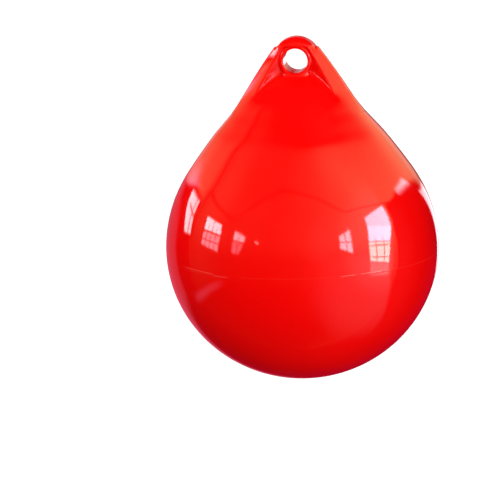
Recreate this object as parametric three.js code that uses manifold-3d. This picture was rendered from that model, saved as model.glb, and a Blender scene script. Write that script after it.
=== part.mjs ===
// Inflatable ball fender (teardrop mooring buoy), 305 mm diameter.
//
// A ball of one-piece moulded soft vinyl runs up through a conical shoulder
// into a solid eye for the rope: a ring round a through hole, two ribs on
// each face that run down from the ring on to the shoulder, and a thinner fin
// outside them in the middle plane. A rib comes to a narrow crest; its outer
// flank is bevelled back to the fin and its inner face slants back to the boss
// of the hole, which leaves a hollow between them. A rubber needle valve is
// set in the back of the shoulder.
//
// Millimetres. +Z is up, the origin is the centre of the eye hole, the hole
// runs along Y and the face that is usually seen looks towards -Y.

import * as THREE from 'three';
import { mergeVertices } from 'three/addons/utils/BufferGeometryUtils.js';
import Module from 'manifold-3d';

const wasm = await Module();
wasm.setup();

// ---------------------------------------------------------------- dimensions

// ball
const BALL_RADIUS = 152.5;          // widest radius, inflated
const BALL_CENTRE_Z = -211.6;       // height of the widest ring
const BALL_BOTTOM_DROP = 148.0;     // widest ring down to the lowest point
const SHOULDER_START_Z = -130.8;    // above this the outline leaves the sphere

// meridian of the conical shoulder, [z, radius]
const SHOULDER = [
  [-117.5, 120.1],
  [-108.5, 113.75],
  [-99.5, 107.2],
  [-92.0, 101.6],
  [-82.5, 94.2],
  [-72.5, 85.4],
  [-63.4, 77.4],
  [-54.4, 69.2],
  [-49.9, 65.2],
];

// the shoulder runs up into the boss of the eye and becomes narrower in depth
// than in width: [z, half width, half depth, squareness (2 is an ellipse)]
const CROWN = [
  [-46.0, 61.6, 61.6, 2.0],
  [-41.5, 57.2, 57.2, 2.0],
  [-37.0, 52.2, 51.8, 2.0],
  [-32.0, 45.6, 44.6, 2.0],
  [-27.5, 38.6, 36.8, 2.05],
  [-23.5, 32.0, 29.2, 2.1],
  [-20.0, 26.4, 22.6, 2.2],
  [-17.2, 22.2, 17.8, 2.35],
  [-14.0, 18.6, 14.6, 2.5],
  [-10.0, 15.0, 11.6, 2.5],
  [-7.0, 12.5, 9.6, 2.5],
];

// eye
const HOLE_RADIUS = 13.5;           // through hole for rope or shackle
const HOLE_EDGE_RADIUS = 2.0;       // rounding of the hole's two mouths
const EYE_HALF_THICKNESS = 15.5;    // half the ring's thickness along Y
const RING_RADIUS = 25.6;           // outside of the ring
const BOSS_RADIUS = 18.4;           // boss round the hole, below the ring
const RING_EDGE_RADIUS = 10.0;      // the ring is nearly round in section
const BOSS_EDGE_RADIUS = 4.0;

// ribs that run down from the ring on each face
const CREST_X = 24.5;               // crest of a rib at the height of the hole
const CREST_SLOPE = 0.575;          // sideways run of the crest per unit of drop
const CREST_WIDTH = 1.3;
const RIB_FLANK = 0.79;             // outer flank: sideways run per unit of depth
const RIB_INNER = 0.78;             // inner face: depth per unit of sideways run
const RIB_SPREAD = 0.28;            // how fast the ribs come forward, per drop
const RIB_TOP_Z = 10.0;             // the ring takes over from here
const RIB_FOOT_Z = -57.0;           // buried in the shoulder

// fin in the middle plane
const FIN_X = 33.8;                 // fin edge at the height of the hole
const FIN_SLOPE_UP = 0.74;          // its lean above the hole's axis
const FIN_SLOPE_DOWN = 0.69;        // and below it
const FIN_CURVE = 0.0009;           // the edge curves in towards the foot
const FIN_TOP_Z = 13.0;             // where the fin leaves the ring
const FIN_FOOT_Z = -57.0;           // buried in the shoulder
const FIN_HALF_THICKNESS = 5.0;
const FIN_EDGE_RADIUS = 2.2;

// needle valve in the back of the shoulder
const VALVE_Z = -78.0;              // height of the valve's centre
const VALVE_HEAD_RADIUS = 8.0;
const VALVE_HEAD_THICKNESS = 2.6;
const VALVE_STEM_RADIUS = 5.0;
const VALVE_STEM_LENGTH = 14.0;
const VALVE_PROUD = 0.6;            // head above the vinyl
const VALVE_DIMPLE_RADIUS = 2.4;    // funnel that guides the needle
const VALVE_NEEDLE_RADIUS = 1.0;    // self-closing passage
const FIT_GAP = 0.3;

// how finely the round shapes are drawn
const ROUND_STEPS = 64;
const BOTTOM_STEPS = 13;
const SPHERE_STEPS = 8;
const HOLE_STEPS = 48;

// ---------------------------------------------------------------- helpers

// closed three.js geometry -> solid
function solid(geometry) {
  let g = geometry.clone();
  g.deleteAttribute('normal');
  g.deleteAttribute('uv');
  g = mergeVertices(g, 1e-4);
  const p = g.attributes.position;
  const index = g.index.array;
  const tri = [];
  let volume = 0;
  const a = new THREE.Vector3();
  const b = new THREE.Vector3();
  const c = new THREE.Vector3();
  for (let i = 0; i < index.length; i += 3) {
    const [i0, i1, i2] = [index[i], index[i + 1], index[i + 2]];
    if (i0 === i1 || i1 === i2 || i2 === i0) continue;
    tri.push(i0, i1, i2);
    a.fromBufferAttribute(p, i0);
    b.fromBufferAttribute(p, i1);
    c.fromBufferAttribute(p, i2);
    volume += a.dot(b.cross(c)) / 6;
  }
  if (volume < 0) {
    for (let i = 0; i < tri.length; i += 3) {
      [tri[i + 1], tri[i + 2]] = [tri[i + 2], tri[i + 1]];
    }
  }
  return new wasm.Manifold(new wasm.Mesh({
    numProp: 3,
    vertProperties: Float32Array.from(p.array),
    triVerts: Uint32Array.from(tri),
  }));
}

// solid -> three.js mesh
function toMesh(manifold, name, material) {
  const m = manifold.getMesh();
  const g = new THREE.BufferGeometry();
  const n = m.vertProperties.length / m.numProp;
  const pos = new Float32Array(n * 3);
  for (let i = 0; i < n; i++) {
    for (let k = 0; k < 3; k++) pos[3 * i + k] = m.vertProperties[m.numProp * i + k];
  }
  g.setAttribute('position', new THREE.BufferAttribute(pos, 3));
  g.setIndex(new THREE.BufferAttribute(Uint32Array.from(m.triVerts), 1));
  g.computeVertexNormals();
  const mesh = new THREE.Mesh(g, material);
  mesh.name = name;
  return mesh;
}

// profile of [radius, height] turned about the vertical axis
function turned(profile, steps) {
  const g = new THREE.LatheGeometry(
    profile.map(([r, h]) => new THREE.Vector2(r, h)), steps);
  g.rotateX(Math.PI / 2);           // the axis of turning becomes Z
  return g;
}

// closed skin over a stack of rings [z, half width, half depth, squareness];
// it starts in a point on the axis and ends in a flat top
function lofted(bottomZ, rings, steps) {
  const p = [0, 0, bottomZ];
  for (const [z, a, b, n] of rings) {
    for (let i = 0; i < steps; i++) {
      const t = 2 * Math.PI * i / steps;
      const c = Math.cos(t);
      const d = Math.sin(t);
      p.push(a * Math.sign(c) * Math.abs(c) ** (2 / n),
        b * Math.sign(d) * Math.abs(d) ** (2 / n), z);
    }
  }
  p.push(0, 0, rings[rings.length - 1][0]);
  const top = p.length / 3 - 1;
  const index = [];
  for (let i = 0; i < steps; i++) {
    const j = (i + 1) % steps;
    index.push(0, 1 + j, 1 + i);
    for (let k = 0; k + 1 < rings.length; k++) {
      const lo = 1 + k * steps;
      const hi = lo + steps;
      index.push(lo + i, lo + j, hi + j, lo + i, hi + j, hi + i);
    }
    index.push(top, top - steps + i, top - steps + j);
  }
  const g = new THREE.BufferGeometry();
  g.setAttribute('position', new THREE.Float32BufferAttribute(p, 3));
  g.setIndex(index);
  return g;
}

// the same, about the axis of the eye hole
function turnedAboutY(profile, steps) {
  return new THREE.LatheGeometry(
    profile.map(([r, h]) => new THREE.Vector2(r, h)), steps);
}

// closed solid between level polygons [z, [[x, y], ...]] with equally many
// corners, listed from the bottom up and counter-clockwise seen from above
function stacked(levels) {
  const n = levels[0][1].length;
  const p = [];
  for (const [z, corners] of levels) {
    for (const [x, y] of corners) p.push(x, y, z);
  }
  const index = [];
  const top = (levels.length - 1) * n;
  for (let i = 1; i + 1 < n; i++) {
    index.push(0, i + 1, i);
    index.push(top, top + i, top + i + 1);
  }
  for (let k = 0; k + 1 < levels.length; k++) {
    for (let i = 0; i < n; i++) {
      const j = (i + 1) % n;
      const lo = k * n;
      const hi = lo + n;
      index.push(lo + i, lo + j, hi + j, lo + i, hi + j, hi + i);
    }
  }
  const g = new THREE.BufferGeometry();
  g.setAttribute('position', new THREE.Float32BufferAttribute(p, 3));
  g.setIndex(index);
  return g;
}

// outline in the X, Z plane, given thickness along Y with rounded edges
function plate(outline, halfThickness, edgeRadius) {
  const shape = new THREE.Shape(outline.map(([x, z]) => new THREE.Vector2(x, z)));
  const g = new THREE.ExtrudeGeometry(shape, {
    depth: 2 * (halfThickness - edgeRadius),
    bevelEnabled: true,
    bevelThickness: edgeRadius,
    bevelSize: edgeRadius,
    bevelOffset: -edgeRadius,
    bevelSegments: 3,
    steps: 1,
    curveSegments: 1,
  });
  g.translate(0, 0, -(halfThickness - edgeRadius));
  g.rotateX(Math.PI / 2);           // outline y -> Z, thickness -> Y
  return g;
}

// arc of the ring between two angles, degrees from +X towards +Z
function arc(radius, from, to, steps) {
  const out = [];
  for (let i = 0; i <= steps; i++) {
    const t = THREE.MathUtils.degToRad(from + (to - from) * i / steps);
    out.push([radius * Math.cos(t), radius * Math.sin(t)]);
  }
  return out;
}

// half width of the fin's outline and of the ribs' crest at a height
function finX(z) {
  if (z > 0) return FIN_X - FIN_SLOPE_UP * z;
  return FIN_X - FIN_SLOPE_DOWN * z - FIN_CURVE * z * z;
}
const crestX = (z) => CREST_X - CREST_SLOPE * z;

// ---------------------------------------------------------------- ball

const rings = [];
for (let i = 1; i <= BOTTOM_STEPS; i++) {
  const t = (Math.PI / 2) * i / BOTTOM_STEPS;
  const r = BALL_RADIUS * Math.sin(t);
  rings.push([BALL_CENTRE_Z - BALL_BOTTOM_DROP * Math.cos(t), r, r, 2]);
}
const endAngle = Math.asin((SHOULDER_START_Z - BALL_CENTRE_Z) / BALL_RADIUS);
for (let i = 1; i <= SPHERE_STEPS; i++) {
  const t = endAngle * i / SPHERE_STEPS;
  const r = BALL_RADIUS * Math.cos(t);
  rings.push([BALL_CENTRE_Z + BALL_RADIUS * Math.sin(t), r, r, 2]);
}
for (const [z, r] of SHOULDER) rings.push([z, r, r, 2]);
rings.push(...CROWN);

const ball = solid(lofted(BALL_CENTRE_Z - BALL_BOTTOM_DROP, rings, ROUND_STEPS));

// ---------------------------------------------------------------- eye

// ring and boss, turned about the hole's axis, with rounded outer edges
function disc(radius, half, edge, steps) {
  const profile = [[0, -half]];
  const n = edge > 6 ? 9 : 5;
  for (let i = 0; i <= n; i++) {
    const t = (Math.PI / 2) * i / n;
    profile.push([radius - edge + edge * Math.sin(t), -half + edge - edge * Math.cos(t)]);
  }
  for (let i = 0; i <= n; i++) {
    const t = (Math.PI / 2) * i / n;
    profile.push([radius - edge + edge * Math.cos(t), half - edge + edge * Math.sin(t)]);
  }
  profile.push([0, half]);
  return turnedAboutY(profile, steps);
}

const boss = solid(disc(BOSS_RADIUS, EYE_HALF_THICKNESS, BOSS_EDGE_RADIUS, HOLE_STEPS));

// level section of the ribs of one side, front and back in one: slanting
// inner faces, narrow crests, bulging flanks that end in the fin's edge
function ribSection(z) {
  const x = crestX(z);
  const y = EYE_HALF_THICKNESS + RIB_SPREAD * Math.max(0, -z) - 0.25 * Math.max(0, z - 3);
  const edge = finX(z) - 1.0;
  const edgeY = Math.max(0.5, y - (edge - x) / RIB_FLANK);
  const inner = x - CREST_WIDTH;
  const root = inner - (y - 0.5) / RIB_INNER;
  return [
    [root, -0.5], [inner, -y], [x, -y], [(x + edge) / 2 + 0.7, -(y + edgeY) / 2 - 0.6], [edge, -edgeY],
    [edge, edgeY], [(x + edge) / 2 + 0.7, (y + edgeY) / 2 + 0.6], [x, y], [inner, y], [root, 0.5],
  ];
}
const ribLevels = [RIB_FOOT_Z, -45, -30, -15, 0, 3, RIB_TOP_Z].map((z) => [z, ribSection(z)]);
const rightRibs = solid(stacked(ribLevels));
const leftRibs = solid(stacked(ribLevels.map(
  ([z, corners]) => [z, corners.map(([x, y]) => [-x, y]).reverse()])));

// top of the ring; the ribs' flanks run on up its sides as bevels
const bevels = [RIB_TOP_Z - 1, RING_RADIUS + 1].map((z) => {
  const x = crestX(z);
  const y = EYE_HALF_THICKNESS + 0.5;
  const wide = x + RIB_FLANK * y;
  return [z, [[-wide, 0], [-x, -y], [x, -y], [wide, 0], [x, y], [-x, y]]];
});
const ringTop = solid(disc(RING_RADIUS, EYE_HALF_THICKNESS, RING_EDGE_RADIUS, HOLE_STEPS))
  .intersect(solid(stacked(bevels)));

// fin in the middle plane
const finTouch = THREE.MathUtils.radToDeg(Math.atan(FIN_SLOPE_UP));
const finHeights = [FIN_TOP_Z, 0, -13, -26, -39, FIN_FOOT_Z];
const finOutline = [
  ...[...finHeights].reverse().map((z) => [finX(z), z]),
  ...arc(RING_RADIUS - 0.6, finTouch + 4, 180 - finTouch - 4, 12),
  ...finHeights.map((z) => [-finX(z), z]),
];
const fin = solid(plate(finOutline, FIN_HALF_THICKNESS, FIN_EDGE_RADIUS));

// hole with rounded mouths
const holeProfile = [[0, -EYE_HALF_THICKNESS - 8]];
holeProfile.push([HOLE_RADIUS + HOLE_EDGE_RADIUS, -EYE_HALF_THICKNESS - 8]);
for (let i = 0; i <= 4; i++) {
  const t = (Math.PI / 2) * i / 4;
  holeProfile.push([
    HOLE_RADIUS + HOLE_EDGE_RADIUS * (1 - Math.sin(t)),
    -EYE_HALF_THICKNESS + HOLE_EDGE_RADIUS * (1 - Math.cos(t)),
  ]);
}
for (let i = 4; i >= 0; i--) {
  const t = (Math.PI / 2) * i / 4;
  holeProfile.push([
    HOLE_RADIUS + HOLE_EDGE_RADIUS * (1 - Math.sin(t)),
    EYE_HALF_THICKNESS - HOLE_EDGE_RADIUS * (1 - Math.cos(t)),
  ]);
}
holeProfile.push([HOLE_RADIUS + HOLE_EDGE_RADIUS, EYE_HALF_THICKNESS + 8]);
holeProfile.push([0, EYE_HALF_THICKNESS + 8]);
const hole = solid(turnedAboutY(holeProfile, HOLE_STEPS));

// ---------------------------------------------------------------- valve

// where the valve's axis meets the shoulder, and the skin's slope there
function shoulderAt(z) {
  for (let i = 0; i + 1 < SHOULDER.length; i++) {
    const [z0, r0] = SHOULDER[i];
    const [z1, r1] = SHOULDER[i + 1];
    if (z >= z0 && z <= z1) {
      return { r: r0 + (r1 - r0) * (z - z0) / (z1 - z0), slope: (r0 - r1) / (z1 - z0) };
    }
  }
  throw new Error('the valve is not on the shoulder');
}
const skin = shoulderAt(VALVE_Z);
const valveTilt = Math.atan(skin.slope);      // above the horizontal

// a shape turned about Z is laid along the skin's outward normal on the back
function onValveAxis(geometry) {
  geometry.rotateX(-(Math.PI / 2 - valveTilt));
  geometry.translate(0, skin.r, VALVE_Z);
  return geometry;
}

const headTop = VALVE_PROUD;
const headBottom = VALVE_PROUD - VALVE_HEAD_THICKNESS;
const stemBottom = headBottom - VALVE_STEM_LENGTH;

const valvePocket = solid(onValveAxis(turned([
  [0, stemBottom - FIT_GAP],
  [VALVE_STEM_RADIUS + FIT_GAP, stemBottom - FIT_GAP],
  [VALVE_STEM_RADIUS + FIT_GAP, headBottom - FIT_GAP],
  [VALVE_HEAD_RADIUS + FIT_GAP, headBottom - FIT_GAP],
  [VALVE_HEAD_RADIUS + FIT_GAP, 6],
  [0, 6],
], 32)));

const valveGeometry = onValveAxis(turned([
  [0, stemBottom],
  [VALVE_STEM_RADIUS - 1.0, stemBottom],
  [VALVE_STEM_RADIUS, stemBottom + 1.0],
  [VALVE_STEM_RADIUS, headBottom],
  [VALVE_HEAD_RADIUS, headBottom],
  [VALVE_HEAD_RADIUS, headTop - 0.7],
  [VALVE_HEAD_RADIUS - 0.25, headTop - 0.22],
  [VALVE_HEAD_RADIUS - 0.8, headTop],
  [VALVE_DIMPLE_RADIUS, headTop],
  [VALVE_NEEDLE_RADIUS, headTop - 1.6],
  [VALVE_NEEDLE_RADIUS, headTop - 9.0],
  [0, headTop - 9.4],
], 32));

// ---------------------------------------------------------------- assembly

const body = ball
  .add(fin)
  .add(rightRibs)
  .add(leftRibs)
  .add(ringTop)
  .add(boss)
  .subtract(hole)
  .subtract(valvePocket);

const vinyl = new THREE.MeshStandardMaterial({ color: 0xf01008, roughness: 0.14, metalness: 0 });
const rubber = new THREE.MeshStandardMaterial({ color: 0x1b1a1a, roughness: 0.6, metalness: 0 });

const group = new THREE.Group();
group.name = 'ball_fender';
group.add(toMesh(body, 'fender_body', vinyl));
group.add(toMesh(solid(valveGeometry), 'needle_valve', rubber));

export default group;
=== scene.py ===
"""Looks of an inflatable ball fender: glossy red vinyl ball, ribbed eye, needle valve."""

import math

import bmesh
import bpy
import numpy as np
from mathutils import Matrix, Vector


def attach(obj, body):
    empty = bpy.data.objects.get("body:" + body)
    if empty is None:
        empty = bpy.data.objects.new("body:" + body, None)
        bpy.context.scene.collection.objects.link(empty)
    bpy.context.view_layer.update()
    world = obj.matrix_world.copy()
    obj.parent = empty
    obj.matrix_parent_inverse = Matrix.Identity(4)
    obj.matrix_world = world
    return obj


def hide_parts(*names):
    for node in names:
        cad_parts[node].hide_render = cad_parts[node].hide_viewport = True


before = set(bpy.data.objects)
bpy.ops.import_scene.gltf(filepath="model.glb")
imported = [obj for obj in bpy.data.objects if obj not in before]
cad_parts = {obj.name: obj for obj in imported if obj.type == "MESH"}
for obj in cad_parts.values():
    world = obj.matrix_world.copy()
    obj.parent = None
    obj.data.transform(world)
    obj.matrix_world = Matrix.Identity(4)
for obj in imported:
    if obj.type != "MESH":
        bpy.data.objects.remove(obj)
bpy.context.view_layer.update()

MM = 0.001

# --------------------------------------------------------------- camera
# Far enough away for a long lens, 7 degrees to the right of the eye's face
# and a little above it, rolled a little because the fender hangs slightly
# out of plumb in the picture.

EYE_DISTANCE = 4.9
EYE_AZIMUTH = math.radians(7.0)
EYE_ELEVATION = math.radians(9.0)
LOOK_YAW = math.radians(-7.69330)
LOOK_PITCH = math.radians(-11.45543)
LOOK_ROLL = math.radians(-1.87518)
LENS = 318.008


def make_camera():
    cam = bpy.data.cameras.new("camera")
    cam.sensor_fit = "HORIZONTAL"
    cam.sensor_width = 36.0
    cam.lens = LENS
    cam.clip_start = 0.05
    cam.clip_end = 60.0
    cam.dof.use_dof = False
    obj = bpy.data.objects.new("camera", cam)
    bpy.context.scene.collection.objects.link(obj)
    place = EYE_DISTANCE * Vector((
        math.sin(EYE_AZIMUTH) * math.cos(EYE_ELEVATION),
        -math.cos(EYE_AZIMUTH) * math.cos(EYE_ELEVATION),
        math.sin(EYE_ELEVATION)))
    look = Vector((
        math.sin(LOOK_YAW) * math.cos(LOOK_PITCH),
        math.cos(LOOK_YAW) * math.cos(LOOK_PITCH),
        math.sin(LOOK_PITCH)))
    right = look.cross(Vector((0, 0, 1))).normalized()
    up = right.cross(look)
    right, up = (right * math.cos(LOOK_ROLL) + up * math.sin(LOOK_ROLL),
                 up * math.cos(LOOK_ROLL) - right * math.sin(LOOK_ROLL))
    m = Matrix((right, up, -look)).transposed().to_4x4()
    m.translation = place
    obj.matrix_world = m
    bpy.context.scene.camera = obj
    return obj


camera = make_camera()

# --------------------------------------------------------------- form
# All lengths here are millimetres, in the row frame.

BALL_R = 152.3
BALL_Z = -211.6
BALL_DROP = 147.8
PARTING_Z = -217.3        # mould parting line, just under the widest ring

# z, half width, half depth, squareness of the cross-section
NECK = np.array([
    [-143.0, 135.9, 135.9, 2.0],
    [-130.8, 129.1, 129.1, 2.0],
    [-117.5, 120.1, 120.1, 2.0],
    [-108.5, 113.75, 113.75, 2.0],
    [-99.5, 107.2, 107.2, 2.0],
    [-92.0, 101.6, 101.6, 2.0],
    [-86.0, 97.0, 97.0, 2.0],
    [-82.5, 94.2, 94.2, 2.0],
    [-72.5, 85.4, 85.4, 2.0],
    [-63.4, 77.4, 77.4, 2.0],
    [-54.4, 69.2, 69.2, 2.0],
    [-49.9, 65.2, 65.2, 2.0],
    [-46.0, 61.6, 61.6, 2.0],
    [-41.5, 57.2, 57.2, 2.0],
    [-37.0, 52.2, 51.8, 2.0],
    [-32.0, 45.6, 44.6, 2.0],
    [-27.5, 38.6, 36.8, 2.05],
    [-23.5, 32.0, 29.2, 2.1],
    [-20.0, 26.4, 22.6, 2.2],
    [-17.2, 22.2, 17.8, 2.35],
    [-14.0, 18.6, 14.6, 2.5],
    [-10.0, 15.0, 11.6, 2.5],
    [-6.0, 11.6, 9.0, 2.5],
])

HOLE_R = 13.5
EYE_HALF = 15.5           # half the eye's depth along the hole
RING_R = 25.6
RING_EDGE = 10.0          # the top of the ring is nearly round in section
RIB_EDGE = 3.0            # lower down its outer edge is tighter
BOSS_R = 18.4
CREST_X = 24.5            # crest of the rib at z = 0
CREST_SLOPE = 0.575
RIB_SPREAD = 0.28         # the ribs grow deeper towards their feet
RIB_FOOT_Z = -57.0
RIDGE = 1.3               # the crest is this wide before it is rounded
SCOOP_ANGLE = math.radians(42.0)  # inner face of the rib, measured from the front plane
SCOOP_TOP = 16.0
WEB_X = 33.8              # outline of the web in the middle plane
WEB_SLOPE_UP = 0.74
WEB_SLOPE_DOWN = 0.69
WEB_CURVE = 0.0009
WEB_TOP = 13.0
WEB_HALF = 5.0
WEB_FOOT_Z = -56.5

PATCH_Z = -62.0           # the eye's own mesh ends here


def bell(values, sigma, step):
    """Gaussian smoothing of evenly spaced values; ends are carried on straight."""
    n = int(math.ceil(4 * sigma / step))
    x = np.arange(-n, n + 1) * step
    w = np.exp(-0.5 * (x / sigma) ** 2)
    w /= w.sum()
    head = values[0] + (values[0] - values[1:n + 1][::-1])
    tail = values[-1] + (values[-1] - values[-n - 1:-1][::-1])
    return np.convolve(np.concatenate([head, values, tail]), w, "valid")


def hermite(x, xs, ys):
    """Smooth curve through points, slopes taken from the neighbours."""
    slope = np.gradient(ys, xs)
    i = np.clip(np.searchsorted(xs, x) - 1, 0, len(xs) - 2)
    h = xs[i + 1] - xs[i]
    t = (x - xs[i]) / h
    return ((2 * t**3 - 3 * t**2 + 1) * ys[i] + (t**3 - 2 * t**2 + t) * h * slope[i]
            + (-2 * t**3 + 3 * t**2) * ys[i + 1] + (t**3 - t**2) * h * slope[i + 1])


STEP = 0.25
Z_TABLE = np.arange(BALL_Z - 110.0, -6.0 + 1e-9, STEP)


def ball_radius(z):
    u = (z - BALL_Z) / np.where(z < BALL_Z, BALL_DROP, BALL_R)
    return BALL_R * np.sqrt(np.maximum(1 - u * u, 0))


def make_tables():
    z = Z_TABLE
    out = []
    for column in (1, 2):
        raw = np.where(z < NECK[0, 0], ball_radius(z), hermite(z, NECK[:, 0], NECK[:, column]))
        soft = bell(raw, 4.0, STEP)
        fine = bell(raw, 1.5, STEP)
        # a broad smoothing on the ball, a fine one on the shoulder and neck
        w = np.clip((z + 122.0) / 20.0, 0, 1)
        w = w * w * (3 - 2 * w)
        smooth = soft * (1 - w) + fine * w
        # nothing under the widest ring is changed
        w = np.clip((z - BALL_Z) / 40.0, 0, 1)
        w = w * w * (3 - 2 * w)
        out.append(raw * (1 - w) + smooth * w)
    power = bell(np.where(z < NECK[0, 0], 2.0, hermite(z, NECK[:, 0], NECK[:, 3])), 1.6, STEP)
    return out[0], out[1], np.maximum(power, 2.0)


HALF_WIDTH, HALF_DEPTH, POWER = make_tables()


def smooth_min(a, b, k):
    h = np.maximum(k - np.abs(a - b), 0.0) / k
    return np.minimum(a, b) - h * h * h * k / 6.0


def smooth_max(a, b, k):
    return -smooth_min(-a, -b, k)


def neck_level(x, y, z):
    a = np.interp(z, Z_TABLE, HALF_WIDTH)
    b = np.interp(z, Z_TABLE, HALF_DEPTH)
    n = np.interp(z, Z_TABLE, POWER)
    s = ((np.abs(x) / a) ** n + (np.abs(y) / b) ** n + 1e-12) ** (1 / n)
    return (s - 1.0) * np.sqrt(a * b)


def neck_distance(x, y, z):
    e = 0.05
    f = neck_level(x, y, z)
    gx = (neck_level(x + e, y, z) - neck_level(x - e, y, z)) / (2 * e)
    gy = (neck_level(x, y + e, z) - neck_level(x, y - e, z)) / (2 * e)
    gz = (neck_level(x, y, z + e) - neck_level(x, y, z - e)) / (2 * e)
    d = f / np.maximum(np.sqrt(gx * gx + gy * gy + gz * gz), 0.25)
    return smooth_max(d, z + 9.0, 2.0)


def rounded(a, b, r):
    """Distance to the edge-rounded meeting of two slabs with distances a and b."""
    return (np.hypot(np.maximum(a + r, 0), np.maximum(b + r, 0))
            + np.minimum(np.maximum(a + r, b + r), 0) - r)


def web_reach(z):
    """Half width of the web's outline."""
    low = np.minimum(z, 0.0)
    return WEB_X - np.where(z > 0, WEB_SLOPE_UP * z, WEB_SLOPE_DOWN * z) - WEB_CURVE * low * low


def web_side(x, z):
    side = (np.abs(x) - web_reach(z)) / math.hypot(1, WEB_SLOPE_DOWN)
    return np.maximum(side, z - WEB_TOP)


def web_distance(x, y, z):
    return rounded(np.maximum(web_side(x, z), WEB_FOOT_Z - z), np.abs(y) - WEB_HALF, 2.3)


# outward direction of the rib's flank: it runs from the crest at the front back
# to the web's edge
FLANK = np.cross((-CREST_SLOPE, 0.0, 1.0), (WEB_X - 0.6 - CREST_X, EYE_HALF - 4.0, 0.0))
FLANK = FLANK * np.sign(FLANK[2]) / np.linalg.norm(FLANK)
FLANK = np.abs(FLANK)
FLANK_AT = FLANK[0] * CREST_X + FLANK[1] * EYE_HALF


# across the flank, from the crest (0) back to the web's edge (FLANK_WIDTH)
RUN = np.array([CREST_SLOPE, 0.0, -1.0]) / math.hypot(1, CREST_SLOPE)
ACROSS = np.cross(FLANK, RUN)
ACROSS = ACROSS * (-1 if ACROSS[1] > 0 else 1)
ACROSS_AT = ACROSS[0] * CREST_X + ACROSS[1] * EYE_HALF
FLANK_WIDTH = 14.0
FLANK_BULGE = 1 / 60.0


def arch_distance(x, y, z):
    """Ring and ribs in one: full depth, with bevelled flanks outside and
    slanting inner faces that fall away towards the middle."""
    ax, ay = np.abs(x), np.abs(y)
    spread = RIB_SPREAD * np.maximum(0.5 * (np.sqrt(z * z + 100.0) - z) - 1.6, 0)
    outline = smooth_min(np.hypot(x, z) - RING_R, web_side(x, z), 3.0)
    face = (ay - EYE_HALF - spread) / math.hypot(1, RIB_SPREAD)
    t = np.clip((z - 8.0) / 16.0, 0, 1)
    arch = rounded(outline, face, RIB_EDGE + (RING_EDGE - RIB_EDGE) * t * t * (3 - 2 * t))
    flank = FLANK[0] * ax + FLANK[1] * (ay - spread) + FLANK[2] * z - FLANK_AT
    across = ACROSS[0] * ax + ACROSS[1] * (ay - spread) + ACROSS[2] * z - ACROSS_AT
    across = np.clip(across, -6.0, FLANK_WIDTH + 6.0) - FLANK_WIDTH / 2
    flank = flank + FLANK_BULGE / 2 * (across**2 - (FLANK_WIDTH / 2)**2)
    arch = smooth_max(arch, flank, 1.6)
    inward = (CREST_X - RIDGE - CREST_SLOPE * z - ax) / math.hypot(1, CREST_SLOPE)
    depth = EYE_HALF + spread - ay
    scoop = inward * math.sin(SCOOP_ANGLE) - depth * math.cos(SCOOP_ANGLE)
    scoop = smooth_min(scoop, (SCOOP_TOP - z) * 0.6, 4.0)
    arch = smooth_max(arch, scoop, 1.4)
    return smooth_max(arch, RIB_FOOT_Z - z, 2.0)


def eye_distance(x, y, z):
    boss = rounded(np.hypot(x, z) - BOSS_R, np.abs(y) - EYE_HALF, 4.0)
    return smooth_min(arch_distance(x, y, z), boss, 3.0)


def distance(x, y, z):
    d = smooth_min(neck_distance(x, y, z), web_distance(x, y, z), 6.0)
    # wide hollow between the ribs, tighter corner outside them
    t = np.clip((CREST_X - 2.0 - CREST_SLOPE * z - np.abs(x)) / 9.0, 0, 1)
    d = smooth_min(d, eye_distance(x, y, z), 5.0 + 6.0 * t * t * (3 - 2 * t))
    return smooth_max(d, HOLE_R - np.hypot(x, z), 4.2)


def gradient(p, fn=distance, e=0.04):
    x, y, z = p.T
    return np.stack([
        fn(x + e, y, z) - fn(x - e, y, z),
        fn(x, y + e, z) - fn(x, y - e, z),
        fn(x, y, z + e) - fn(x, y, z - e)], 1) / (2 * e)


def unit(v):
    return v / np.maximum(np.linalg.norm(v, axis=1, keepdims=True), 1e-12)


def settle(p, rounds=3):
    """Moves points on to the surface along its normal."""
    for _ in range(rounds):
        g = gradient(p)
        f = distance(*p.T)
        p = p - g * (f / np.maximum((g * g).sum(1), 0.2))[:, None]
    return p


# --------------------------------------------------------------- eye mesh

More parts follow.
